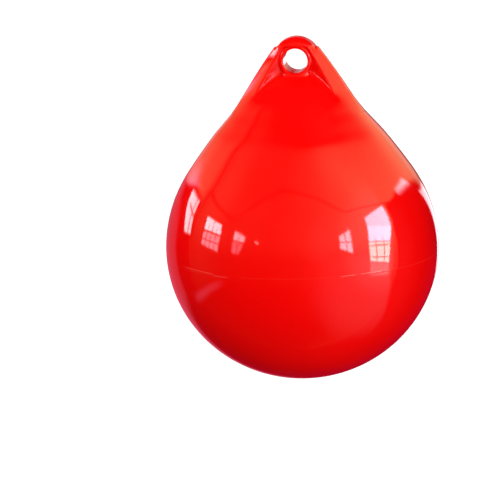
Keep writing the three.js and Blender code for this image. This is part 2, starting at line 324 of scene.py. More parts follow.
def surface_net(xs, ys, zs):
    """Quads of the surface over a box grid, one point to each crossed cell."""
    grid = np.empty((len(xs), len(ys), len(zs)))
    for i, x in enumerate(xs):
        yy, zz = np.meshgrid(ys, zs, indexing="ij")
        grid[i] = distance(np.full(yy.shape, x), yy, zz)
    inside = grid < 0
    nx, ny, nz = (len(s) - 1 for s in (xs, ys, zs))
    total = np.zeros((nx, ny, nz, 3))
    count = np.zeros((nx, ny, nz))
    axes = (xs, ys, zs)
    for axis in range(3):
        others = [k for k in range(3) if k != axis]
        for du in (0, 1):
            for dv in (0, 1):
                lo = [None] * 3
                hi = [None] * 3
                for k, d in zip(others, (du, dv)):
                    size = (nx, ny, nz)[k]
                    lo[k] = hi[k] = slice(d, d + size)
                size = (nx, ny, nz)[axis]
                lo[axis] = slice(0, size)
                hi[axis] = slice(1, size + 1)
                a, b = grid[tuple(lo)], grid[tuple(hi)]
                cross = (a < 0) != (b < 0)
                t = np.where(cross, a / np.where(cross, a - b, 1), 0)
                pos = np.zeros((nx, ny, nz, 3))
                for k, d in zip(others, (du, dv)):
                    shape = [1, 1, 1]
                    shape[k] = -1
                    pos[..., k] = axes[k][d:d + (nx, ny, nz)[k]].reshape(shape)
                shape = [1, 1, 1]
                shape[axis] = -1
                s = axes[axis]
                pos[..., axis] = s[:-1].reshape(shape) + t * (s[1:] - s[:-1]).reshape(shape)
                total += np.where(cross[..., None], pos, 0)
                count += cross
    cells = count > 0
    number = -np.ones((nx, ny, nz), int)
    number[cells] = np.arange(cells.sum())
    points = total[cells] / count[cells][:, None]
    quads = []
    for axis in range(3):
        u, v = (axis + 1) % 3, (axis + 2) % 3
        lo = [slice(None)] * 3
        hi = [slice(None)] * 3
        lo[axis] = slice(0, -1)
        hi[axis] = slice(1, None)
        a, b = inside[tuple(lo)], inside[tuple(hi)]
        where = np.argwhere(a != b)
        keep = (where[:, u] > 0) & (where[:, v] > 0)
        size = (nx, ny, nz)
        keep &= (where[:, u] < size[u]) & (where[:, v] < size[v])
        where = where[keep]
        out = a[tuple(where.T)]          # solid on the low side: the face looks up the axis
        corners = []
        for du, dv in ((-1, -1), (0, -1), (0, 0), (-1, 0)):
            c = where.copy()
            c[:, u] += du
            c[:, v] += dv
            corners.append(number[tuple(c.T)])
        q = np.stack(corners, 1)
        q[~out] = q[~out][:, ::-1]
        quads.append(q)
    quads = np.concatenate(quads)
    return points, quads[(quads >= 0).all(1)]


def relax(points, quads, rounds, amount=0.5):
    """Evens the mesh out without leaving the surface."""
    edges = np.concatenate([quads[:, [0, 1]], quads[:, [1, 2]], quads[:, [2, 3]], quads[:, [3, 0]]])
    key = np.unique(np.sort(edges, 1), axis=0)
    n = len(points)
    degree = np.bincount(key.ravel(), minlength=n).astype(float)
    once = np.sort(edges, 1)
    pair, times = np.unique(once, axis=0, return_counts=True)
    rim = np.zeros(n, bool)
    rim[pair[times == 1].ravel()] = True
    for _ in range(rounds):
        total = np.zeros_like(points)
        for k in range(3):
            total[:, k] = (np.bincount(key[:, 0], points[key[:, 1], k], n)
                           + np.bincount(key[:, 1], points[key[:, 0], k], n))
        mean = total / np.maximum(degree, 1)[:, None]
        normal = unit(gradient(points))
        move = (mean - points) * amount
        move -= normal * (move * normal).sum(1)[:, None]
        move[rim] = 0
        points = settle(points + move, 2)
    return points


def make_eye_patch(pitch):
    """The eye and the neck down to PATCH_Z, with a clean edge there."""
    reach = np.interp(PATCH_Z - 4, Z_TABLE, HALF_WIDTH) + 4
    n = int(math.ceil(reach / pitch))
    xs = (np.arange(-n, n + 1)) * pitch
    zs = np.arange(PATCH_Z - 3.3 * pitch, RING_R + 3 * pitch, pitch)
    points, quads = surface_net(xs, xs.copy(), zs)
    points = settle(points, 4)
    points = relax(points, quads, 4)
    bm = bmesh.new()
    made = [bm.verts.new(p) for p in points]
    for q in quads:
        bm.faces.new([made[i] for i in q])
    bmesh.ops.bisect_plane(
        bm, geom=bm.verts[:] + bm.edges[:] + bm.faces[:], dist=0.12,
        plane_co=(0, 0, PATCH_Z), plane_no=(0, 0, -1), clear_outer=True)
    for v in [v for v in bm.verts if not v.link_faces]:
        bm.verts.remove(v)
    bm.verts.index_update()
    rim = {v.index for e in bm.edges if len(e.link_faces) == 1 for v in e.verts}
    points = np.array([v.co[:] for v in bm.verts])
    faces = [[v.index for v in f.verts] for f in bm.faces]
    bm.free()
    rim = np.array(sorted(rim))
    angle = np.arctan2(points[rim, 1], points[rim, 0])
    order = np.argsort(angle)
    rim, angle = rim[order], angle[order]
    a = np.interp(PATCH_Z, Z_TABLE, HALF_WIDTH)
    points[rim] = np.stack([a * np.cos(angle), a * np.sin(angle), np.full(len(rim), PATCH_Z)], 1)
    return points, faces, rim, angle


# --------------------------------------------------------------- ball mesh

def meridian(spacing):
    """Rings of the ball from the bottom point up to PATCH_Z: z, radius, slope."""
    t = np.linspace(0, math.pi / 2, 2000)
    low = np.stack([BALL_Z - BALL_DROP * np.cos(t), BALL_R * np.sin(t)], 1)
    keep = (Z_TABLE > BALL_Z) & (Z_TABLE <= PATCH_Z)
    high = np.stack([Z_TABLE[keep], HALF_WIDTH[keep]], 1)
    line = np.concatenate([low, high])
    step = np.hypot(*np.diff(line, axis=0).T)
    s = np.concatenate([[0], np.cumsum(step)])
    n = int(round(s[-1] / spacing))
    at = np.linspace(0, s[-1], n + 1)
    z = np.interp(at, s, line[:, 0])
    # a few closer rings draw the parting line
    at_line = np.interp(PARTING_Z, line[:, 0], s)
    near = at_line + np.array([-1.5, -0.8, -0.45, -0.2, 0.0, 0.2, 0.45, 0.8, 1.5])
    at = at[np.abs(at - at_line) > 2.2]
    at = np.sort(np.concatenate([at, near]))
    z = np.interp(at, s, line[:, 0])
    r = np.interp(at, s, line[:, 1])
    r[0] = 0.0
    e = 0.6
    dz = np.interp(at + e, s, line[:, 0]) - np.interp(at - e, s, line[:, 0])
    dr = np.interp(at + e, s, line[:, 1]) - np.interp(at - e, s, line[:, 1])
    dz[0], dr[0] = 0.0, 1.0
    return z, r, dz, dr


def zip_rings(low, low_angle, high, high_angle):
    """Triangles between two closed rings, each sorted by angle."""
    i = j = 0
    a, b = len(low), len(high)
    two = 2 * math.pi
    faces = []
    start = int(np.argmin(np.abs((high_angle - low_angle[0] + math.pi) % two - math.pi)))
    high = np.roll(high, -start)
    high_angle = np.unwrap(np.roll(high_angle, -start))
    high_angle = high_angle + two * round((low_angle[0] - high_angle[0]) / two)
    low_angle = np.unwrap(low_angle)
    la = np.append(low_angle, low_angle[0] + two)
    ha = np.append(high_angle, high_angle[0] + two)
    while i < a or j < b:
        if j == b or (i < a and la[i + 1] <= ha[j + 1]):
            faces.append([int(low[i % a]), int(low[(i + 1) % a]), int(high[j % b])])
            i += 1
        else:
            faces.append([int(low[i % a]), int(high[(j + 1) % b]), int(high[j % b])])
            j += 1
    return faces


# --------------------------------------------------------------- valve

VALVE_Z = -78.0
VALVE_HEAD_R = 8.0
VALVE_HEAD_T = 2.6
VALVE_PROUD = 0.6
FIT_GAP = 0.3


def valve_frame():
    """Where the valve's axis meets the skin at the back, and its directions."""
    # the same straight stretch of shoulder that the CAD valve stands on
    slope = (94.2 - 85.4) / 10.0
    r = 94.2 - slope * (VALVE_Z + 82.5)
    tilt = math.atan(slope)
    out = np.array([0.0, math.cos(tilt), math.sin(tilt)])
    up = np.array([0.0, -math.sin(tilt), math.cos(tilt)])
    side = np.array([1.0, 0.0, 0.0])
    return np.array([0.0, r, VALVE_Z]), side, up, out


def skin_along(p, direction, start):
    """Distance from points p to the shoulder's skin along a direction."""
    t = np.full(len(p), float(start))
    for _ in range(12):
        q = p + t[:, None] * direction
        f = np.hypot(q[:, 0], q[:, 1]) - np.interp(q[:, 2], Z_TABLE, HALF_WIDTH)
        e = 0.05
        q2 = q + e * direction
        f2 = np.hypot(q2[:, 0], q2[:, 1]) - np.interp(q2[:, 2], Z_TABLE, HALF_WIDTH)
        t = t - f / np.where(np.abs(f2 - f) < 1e-9, 1, (f2 - f) / e)
    return t


def make_ball(spacing, segments):
    """The ball up to PATCH_Z as rings, with the quads at the back left out where the valve's seat goes."""
    z, r, dz, dr = meridian(spacing)
    bump = 0.045 * np.exp(-((z - PARTING_Z) / 0.42) ** 2)
    angle = np.linspace(0, 2 * math.pi, segments, endpoint=False) - math.pi
    rings = len(z)
    points = [np.array([[0, 0, z[0]]])]
    normals = [np.array([[0, 0, -1.0]])]
    c, s = np.cos(angle), np.sin(angle)
    slope = np.gradient(bump, np.maximum.accumulate(z + np.arange(rings) * 1e-9))
    for k in range(1, rings):
        rr = r[k] + bump[k]
        points.append(np.stack([rr * c, rr * s, np.full(segments, z[k])], 1))
        nr, nz = dz[k], -(dr[k] + slope[k] * dz[k])
        ln = math.hypot(nr, nz)
        normals.append(np.stack([nr / ln * c, nr / ln * s, np.full(segments, nz / ln)], 1))
    points = np.concatenate(points)
    normals = np.concatenate(normals)
    index = lambda k, i: 1 + (k - 1) * segments + (i % segments)

    # quads that the valve's seat takes the place of
    centre, side, up, out = valve_frame()
    rel = points - centre
    off = np.hypot(rel @ side, rel @ up)
    near = (off < 16.0) & (rel @ out > -12)
    faces, gone = [], []
    for i in range(segments):
        faces.append([0, index(1, i + 1), index(1, i)])
    for k in range(1, rings - 1):
        for i in range(segments):
            q = [index(k, i), index(k, i + 1), index(k + 1, i + 1), index(k + 1, i)]
            (gone if near[q].any() else faces).append(q)
    top = np.array([index(rings - 1, i) for i in range(segments)])
    return points, normals, faces, gone, top, angle


def turned_patch(profile, steps):
    """Rings [radius, height] round the valve's axis; heights stand on the skin
    at full radius and on the flat of the valve near the middle."""
    centre, side, up, out = valve_frame()
    t = np.linspace(0, 2 * math.pi, steps, endpoint=False)
    rings = []
    for radius, height, follow in profile:
        p = centre + radius * (np.cos(t)[:, None] * side + np.sin(t)[:, None] * up)
        lift = skin_along(p, out, 0.0)
        rings.append(p + (height + follow * lift)[:, None] * out)
    return np.array(rings), t


def valve_seat():
    """Profile of the vinyl round the valve: radius, height, share of the skin's
    own curve that it follows."""
    hole = VALVE_HEAD_R + FIT_GAP
    out = [(15.2, 0.0, 1.0), (13.6, 0.0, 1.0), (12.6, 0.05, 1.0), (12.0, 0.22, 1.0),
           (11.4, 0.5, 1.0), (10.9, 0.66, 0.95), (10.3, 0.72, 0.9), (9.7, 0.72, 0.8),
           (9.2, 0.68, 0.7), (8.85, 0.56, 0.6), (8.6, 0.36, 0.5), (8.45, 0.12, 0.3),
           (hole + 0.04, -0.2, 0.1), (hole, -0.6, 0.0), (hole, -1.9, 0.0), (hole - 0.1, -2.25, 0.0),
           (hole - 0.4, -2.36, 0.0), (6.6, -2.36, 0.0), (5.5, -2.36, 0.0), (5.3, -2.6, 0.0),
           (5.3, -8.0, 0.0)]
    return out


def build_body():
    eye_points, eye_faces, rim, rim_angle = make_eye_patch(1.0)
    ball_points, ball_normals, ball_faces, gone, top, top_angle = make_ball(3.0, 240)
    eye_normals = unit(gradient(eye_points))
    # the last ring of the ball is dropped on to the patch's rim
    n0 = len(ball_points)
    segments = len(top)
    below = top - segments
    last = set(int(i) for i in top)
    ball_faces = [f for f in ball_faces if not last.intersection(f)]
    points = [ball_points, eye_points]
    normals = [ball_normals, eye_normals]
    faces = ball_faces + [[i + n0 for i in f] for f in eye_faces]
    faces += zip_rings(below, top_angle, rim + n0, rim_angle)
    count = n0 + len(eye_points)

    # seat of the valve
    rings, t = turned_patch(valve_seat(), 72)
    steps = len(t)
    base = count
    flat = rings.reshape(-1, 3)
    points.append(flat)
    seat_normals = np.zeros_like(flat)
    e = 0.05
    for k in range(2):
        q = rings[k]
        rad = np.hypot(q[:, 0], q[:, 1])
        sl = (np.interp(q[:, 2] + e, Z_TABLE, HALF_WIDTH) - np.interp(q[:, 2] - e, Z_TABLE, HALF_WIDTH)) / (2 * e)
        n = np.stack([q[:, 0] / rad, q[:, 1] / rad, -sl], 1)
        seat_normals[k * steps:(k + 1) * steps] = unit(n)
    normals.append(seat_normals)
    for k in range(len(rings) - 1):
        for i in range(steps):
            j = (i + 1) % steps
            faces.append([base + (k + 1) * steps + i, base + (k + 1) * steps + j,
                          base + k * steps + j, base + k * steps + i])
    floor = base + (len(rings) - 1) * steps
    faces.append([floor + i for i in range(steps)][::-1])

    # loop left open in the ball by the quads that were taken away
    edges = {(a, b) for q in gone for a, b in zip(q, q[1:] + q[:1])}
    ahead = {a: b for a, b in edges if (b, a) not in edges}
    loop = [min(ahead)]
    while ahead[loop[-1]] != loop[0]:
        loop.append(ahead[loop[-1]])
    loop = np.array(loop[::-1])
    centre, side, up, out = valve_frame()
    rel = ball_points[loop] - centre
    around = np.arctan2(rel @ up, rel @ side)
    inner = np.arange(steps) + base
    inner_angle = (t + math.pi) % (2 * math.pi) - math.pi
    order = np.argsort(inner_angle)
    faces += [list(f)[::-1] for f in zip_rings(loop, around, inner[order], inner_angle[order])]

    points = np.concatenate(points)
    normals = np.concatenate(normals)
    return points, normals, faces


def mesh_object(name, points, faces, normals=None):
    """Metres, smooth shaded; unused points are dropped."""
    used = np.unique(np.concatenate([np.array(f) for f in faces]))
    new = -np.ones(len(points), int)
    new[used] = np.arange(len(used))
    me = bpy.data.meshes.new(name)
    me.from_pydata((points[used] * MM).tolist(), [], [[int(new[i]) for i in f] for f in faces])
    me.validate()
    me.update()
    me.shade_smooth()
    if normals is not None:
        me.normals_split_custom_set_from_vertices(normals[used].tolist())
    obj = bpy.data.objects.new(name, me)
    bpy.context.scene.collection.objects.link(obj)
    return obj


points, normals, faces = build_body()
body = mesh_object("vinyl_body", points, faces, normals)
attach(body, "root")
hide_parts("fender_body")


# --------------------------------------------------------------- needle valve

def build_valve():
    """Rubber plug: head with a raised lip and a funnel for the needle, stem below."""
    top = VALVE_PROUD
    bottom = top - VALVE_HEAD_T
    profile = [
        (0.0, top - 9.4), (1.0, top - 9.0), (1.0, top - 5.0), (1.0, top - 2.0), (1.06, top - 1.6),
        (1.5, top - 0.95), (2.0, top - 0.42), (2.3, top - 0.2), (2.6, top - 0.14), (3.4, top - 0.13),
        (4.1, top - 0.12), (4.35, top - 0.05), (4.6, top - 0.0), (5.0, top), (5.4, top - 0.0),
        (5.65, top - 0.05), (5.9, top - 0.12), (6.6, top - 0.13), (6.9, top - 0.09), (7.15, top - 0.04),
        (7.4, top - 0.08), (7.7, top - 0.25), (7.92, top - 0.55), (8.0, top - 0.9), (8.0, bottom + 0.5),
        (7.85, bottom + 0.15), (7.5, bottom), (6.0, bottom), (5.2, bottom), (5.0, bottom - 0.3),
        (5.0, bottom - 7.0), (5.0, bottom - 13.0), (4.6, bottom - 13.6), (4.0, bottom - 14.0),
        (0.0, bottom - 14.0)]
    steps = 72
    centre, side, up, out = valve_frame()
    t = np.linspace(0, 2 * math.pi, steps, endpoint=False)
    points, rows = [], []
    for radius, height in profile:
        if radius == 0:
            rows.append([len(points)])
            points.append(centre + height * out)
        else:
            rows.append(list(range(len(points), len(points) + steps)))
            points.extend(centre + radius * (math.cos(a) * side + math.sin(a) * up) + height * out
                          for a in t)
    faces = []
    for lo, hi in zip(rows, rows[1:]):
        for i in range(steps):
            j = (i + 1) % steps
            if len(lo) == 1:
                faces.append([lo[0], hi[j], hi[i]])
            elif len(hi) == 1:
                faces.append([lo[i], lo[j], hi[0]])
            else:
                faces.append([lo[i], lo[j], hi[j], hi[i]])
    return np.array(points), faces


points, faces = build_valve()
valve = mesh_object("valve_plug", points, faces)
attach(valve, "root")
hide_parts("needle_valve")


def check_outward(obj):
    bm = bmesh.new()
    bm.from_mesh(obj.data)
    volume = bm.calc_volume(signed=True)
    edges = sum(1 for e in bm.edges if len(e.link_faces) != 2)
    bm.free()
    return volume, edges


for o in (body, valve):
    print(o.name, "volume m3, open edges:", check_outward(o), "triangles:",
          sum(len(p.vertices) - 2 for p in o.data.polygons))

# --------------------------------------------------------------- materials

def socket(bsdf, name, value):
    bsdf.inputs[name].default_value = value


class Paint:
    """Small helper that builds a material's nodes."""

    def __init__(self, name):
        self.mat = bpy.data.materials.new(name)
        self.mat.use_nodes = True
        self.tree = self.mat.node_tree
        self.bsdf = self.tree.nodes["Principled BSDF"]
        self.coord = self.tree.nodes.new("ShaderNodeTexCoord").outputs["Object"]

    def node(self, kind, **settings):
        n = self.tree.nodes.new(kind)
        for k, v in settings.items():
            setattr(n, k, v)
        return n

    def link(self, a, b):
        self.tree.links.new(a, b)

    def put(self, value, socket):
        if isinstance(value, bpy.types.NodeSocket):
            self.link(value, socket)
        else:
            socket.default_value = value

    def math(self, op, *values):
        n = self.node("ShaderNodeMath", operation=op)
        for v, sock in zip(values, n.inputs):
            self.put(v, sock)
        return n.outputs[0]

    def noise(self, scale, detail=2.0, rough=0.5, stretch=(1, 1, 1), move=(0, 0, 0)):
        m = self.node("ShaderNodeMapping")
        m.inputs["Scale"].default_value = stretch
        m.inputs["Location"].default_value = move
        self.link(self.coord, m.inputs["Vector"])
        n = self.node("ShaderNodeTexNoise")
        n.inputs["Scale"].default_value = scale
        n.inputs["Detail"].default_value = detail
        n.inputs["Roughness"].default_value = rough
        self.link(m.outputs[0], n.inputs["Vector"])
        return n.outputs["Fac"]

    def ramp(self, value, low, high, to_low=0.0, to_high=1.0):
        n = self.node("ShaderNodeMapRange", interpolation_type="SMOOTHSTEP")
        self.put(value, n.inputs["Value"])
        n.inputs["From Min"].default_value = low
        n.inputs["From Max"].default_value = high
        n.inputs["To Min"].default_value = to_low
        n.inputs["To Max"].default_value = to_high
        return n.outputs["Result"]

    def mix(self, factor, a, b):
        n = self.node("ShaderNodeMix", data_type="RGBA")
        self.put(factor, n.inputs[0])
        self.put(a, n.inputs[6])
        self.put(b, n.inputs[7])
        return n.outputs[2]

    def bump(self, height, distance, strength=1.0, under=None):
        n = self.node("ShaderNodeBump")
        n.inputs["Strength"].default_value = strength
        n.inputs["Distance"].default_value = distance
        self.link(height, n.inputs["Height"])
        if under is not None:
            self.link(under, n.inputs["Normal"])
        return n.outputs[0]


def vinyl_material():
    p = Paint("vinyl_gloss_red")
    b = p.bsdf
    socket(b, "IOR", 1.5)
    socket(b, "Metallic", 0.0)

    # colour: pigment a little uneven over hand-sized areas and in fine flecks
    broad = p.ramp(p.noise(9.0, 3.0), 0.30, 0.70)
    fleck = p.ramp(p.noise(420.0, 2.0), 0.55, 0.80)
    colour = p.mix(p.math("MULTIPLY", broad, 0.5), (0.86, 0.0012, 0.0005, 1), (0.79, 0.0009, 0.0006, 1))
    colour = p.mix(p.math("MULTIPLY", fleck, 0.10), colour, (0.62, 0.001, 0.001, 1))

    # gloss: very smooth, with cloudier handled areas
    cloud = p.noise(16.0, 4.0, 0.55, move=(3.1, 0.4, 1.7))
    rough = p.ramp(cloud, 0.35, 0.75, 0.035, 0.085)

    # scuffs along the parting line
    split = p.node("ShaderNodeSeparateXYZ")
    p.link(p.coord, split.inputs[0])
    x, y, z = split.outputs
    wander = p.math("MULTIPLY", p.math("SUBTRACT", p.noise(11.0, 2.0), 0.5), 0.0040)
    level = p.math("SUBTRACT", z, PARTING_Z * MM)
    around = p.math("ARCTAN2", x, p.math("MULTIPLY", y, -1.0))

    def scratch(offset, width, low, high, drift=0.0, follow=0.0):
        """Hairline round the ball between two angles, offset in metres from the line."""
        at = p.math("SUBTRACT", level, offset)
        at = p.math("SUBTRACT", at, p.math("MULTIPLY", wander, follow))
        middle = (low + high) / 2
        at = p.math("SUBTRACT", at, p.math("MULTIPLY", p.math("SUBTRACT", around, middle), drift))
        line = p.ramp(p.math("ABSOLUTE", at), width, width * 0.3)
        ends = p.math("MULTIPLY", p.ramp(around, low, low + 0.08), p.ramp(around, high, high - 0.08))
        return p.math("MULTIPLY", line, ends)

    lines = [
        scratch(0.0000, 0.00040, -3.2, 3.2),
        scratch(0.0010, 0.00045, 0.28, 0.78, 0.004, 0.3),
        scratch(-0.0022, 0.00040, 0.26, 0.44, 0.010, 0.3),
        scratch(0.0020, 0.00035, -0.95, -0.55, -0.006, 0.5),
        scratch(-0.0012, 0.00040, -0.62, -0.30, 0.002, 0.5),
        scratch(-0.0125, 0.00035, 0.24, 0.30, 0.000, 0.2),
    ]
    strengths = [0.06, 0.40, 0.28, 0.30, 0.18, 0.25]
    worn = None
    for line, k in zip(lines, strengths):
        m = p.math("MULTIPLY", line, k)
        worn = m if worn is None else p.math("MAXIMUM", worn, m)
    worn = p.math("MULTIPLY", worn, p.ramp(p.noise(60.0, 2.0, move=(0.7, 0.1, 0.2)), 0.30, 0.55))
    colour = p.mix(worn, colour, (0.95, 0.26, 0.20, 1))
    rough = p.math("ADD", rough, p.math("MULTIPLY", worn, 0.30))

    p.link(colour, b.inputs["Base Color"])
    p.link(rough, b.inputs["Roughness"])

    # skin: slow waves of the inflated wall, and the fine pebble of moulded vinyl
    waves = p.bump(p.noise(13.0, 2.0, 0.45), 0.0006)
    pebble = p.bump(p.noise(700.0, 2.0, 0.5), 0.000006, under=waves)
    scar = p.bump(p.math("MULTIPLY", worn, -1.0), 0.00008, under=pebble)
    p.link(scar, b.inputs["Normal"])
    return p.mat


def rubber_material():
    p = Paint("valve_rubber_black")
    b = p.bsdf
    socket(b, "IOR", 1.5)
    dust = p.ramp(p.noise(260.0, 3.0), 0.50, 0.80)
    colour = p.mix(dust, (0.012, 0.012, 0.013, 1), (0.045, 0.040, 0.038, 1))
    p.link(colour, b.inputs["Base Color"])
    p.link(p.ramp(p.noise(180.0, 3.0, move=(1.0, 2.0, 0.0)), 0.3, 0.7, 0.42, 0.62), b.inputs["Roughness"])
    p.link(p.bump(p.noise(2200.0, 2.0), 0.00003), b.inputs["Normal"])
    return p.mat


body.data.materials.append(vinyl_material())
valve.data.materials.append(rubber_material())

# --------------------------------------------------------------- stage

FLOOR_Z = -0.66


def floor_material():
    mat = bpy.data.materials.new("floor_pale")
    mat.use_nodes = True
    bsdf = mat.node_tree.nodes["Principled BSDF"]
    socket(bsdf, "Base Color", (0.93, 0.93, 0.93, 1))
    socket(bsdf, "Roughness", 0.9)
    socket(bsdf, "Specular IOR Level", 0.0)
    return mat


def make_floor():
    bm = bmesh.new()
    bmesh.ops.create_grid(bm, x_segments=1, y_segments=1, size=12.0)
    me = bpy.data.meshes.new("floor")
    bm.to_mesh(me)
    bm.free()
    obj = bpy.data.objects.new("floor", me)
    obj.location = (0, 0, FLOOR_Z)
    bpy.context.scene.collection.objects.link(obj)
    me.materials.append(floor_material())
    return obj


floor = make_floor()
floor.visible_glossy = False
floor.visible_diffuse = False


# --------------------------------------------------------------- light
# A bright hall: soft light from all round for the vinyl's own colour, and for
# its gloss the hall itself, with tall windows down both sides, a lit ceiling
# between two beams and a dark roof above. Azimuth 0 is in front of the eye's
# face (-Y), 90 is +X.

def toward(azimuth, elevation):
    a, e = math.radians(azimuth), math.radians(elevation)
    return np.array([math.sin(a) * math.cos(e), -math.cos(a) * math.cos(e), math.sin(e)])


class Sky:
    """Small helper that builds the world's nodes."""

    def __init__(self, tree):
        self.tree = tree
        self.tree.nodes.clear()
        coord = self.node("ShaderNodeTexCoord")
        self.dir = coord.outputs["Generated"]
        split = self.node("ShaderNodeSeparateXYZ")
        self.link(self.dir, split.inputs[0])
        self.x, self.y, self.z = split.outputs

    def node(self, kind, **settings):
        n = self.tree.nodes.new(kind)
        for k, v in settings.items():
            setattr(n, k, v)
        return n

    def link(self, a, b):
        self.tree.links.new(a, b)

    def put(self, value, socket):
        if isinstance(value, bpy.types.NodeSocket):
            self.link(value, socket)
        else:
            socket.default_value = value

    def math(self, op, *values):
        n = self.node("ShaderNodeMath", operation=op)
        for v, sock in zip(values, n.inputs):
            self.put(v, sock)
        return n.outputs[0]

    def dot(self, v):
        n = self.node("ShaderNodeVectorMath", operation="DOT_PRODUCT")
        self.link(self.dir, n.inputs[0])
        n.inputs[1].default_value = tuple(float(c) for c in v)
        return n.outputs["Value"]

    def ramp(self, value, low, high):
        """0 below low, 1 above high, smooth between (high may be under low)."""
        n = self.node("ShaderNodeMapRange", interpolation_type="SMOOTHSTEP")
        flip = high < low
        self.put(value, n.inputs["Value"])
        n.inputs["From Min"].default_value = min(low, high)
        n.inputs["From Max"].default_value = max(low, high)
        n.inputs["To Min"].default_value = 1.0 if flip else 0.0
        n.inputs["To Max"].default_value = 0.0 if flip else 1.0
        return n.outputs["Result"]

    def product(self, *values):
        out = values[0]
        for v in values[1:]:
            out = self.math("MULTIPLY", out, v)
        return out

    def inside(self, corners, soft):
        """1 inside the figure with these corners (azimuth, elevation)."""
        d = [toward(*c) for c in corners]
        middle = sum(d)
        out = None
        for p, q in zip(d, d[1:] + d[:1]):
            n = np.cross(p, q)
            n /= np.linalg.norm(n)
            if n @ middle < 0:
                n = -n
            m = self.ramp(self.dot(n), -soft / 2, soft / 2)
            out = m if out is None else self.math("MULTIPLY", out, m)
        return out

    def line(self, p, q, width):
        """1 on the straight bar between two directions, 0 off it."""
        p, q = toward(*p), toward(*q)
        n = np.cross(p, q)
        n /= np.linalg.norm(n)
        across = self.ramp(self.math("ABSOLUTE", self.dot(n)), width, width * 0.3)
        middle = p + q
        middle /= np.linalg.norm(middle)
        reach = float(p @ middle)
        along = self.ramp(self.dot(middle), reach - 0.02, reach + 0.005)
        return self.math("MULTIPLY", across, along)

    def streak(self, p, q, width):
        """Soft-edged bar, brightest in its middle."""
        p, q = toward(*p), toward(*q)
        n = np.cross(p, q)
        n /= np.linalg.norm(n)
        middle = p + q
        middle /= np.linalg.norm(middle)
        return self.product(self.ramp(self.math("ABSOLUTE", self.dot(n)), width, 0.0),
                            self.ramp(self.dot(middle), float(p @ middle), 1.0))

    def disc(self, centre, inner, outer):
        """1 within inner degrees of a direction, 0 past outer degrees."""
        c = self.dot(toward(*centre))
        return self.ramp(c, math.cos(math.radians(outer)), math.cos(math.radians(inner)))

    def tint(self, colour, amount):
        n = self.node("ShaderNodeVectorMath", operation="SCALE")
        n.inputs[0].default_value = colour
        self.put(amount, n.inputs["Scale"])
        return n.outputs[0]

    def add(self, a, b):
        n = self.node("ShaderNodeVectorMath", operation="ADD")
        self.put(a, n.inputs[0])
        self.put(b, n.inputs[1])
        return n.outputs[0]

    def times(self, a, amount):
        n = self.node("ShaderNodeVectorMath", operation="SCALE")
        self.put(a, n.inputs[0])
        self.put(amount, n.inputs["Scale"])
        return n.outputs[0]


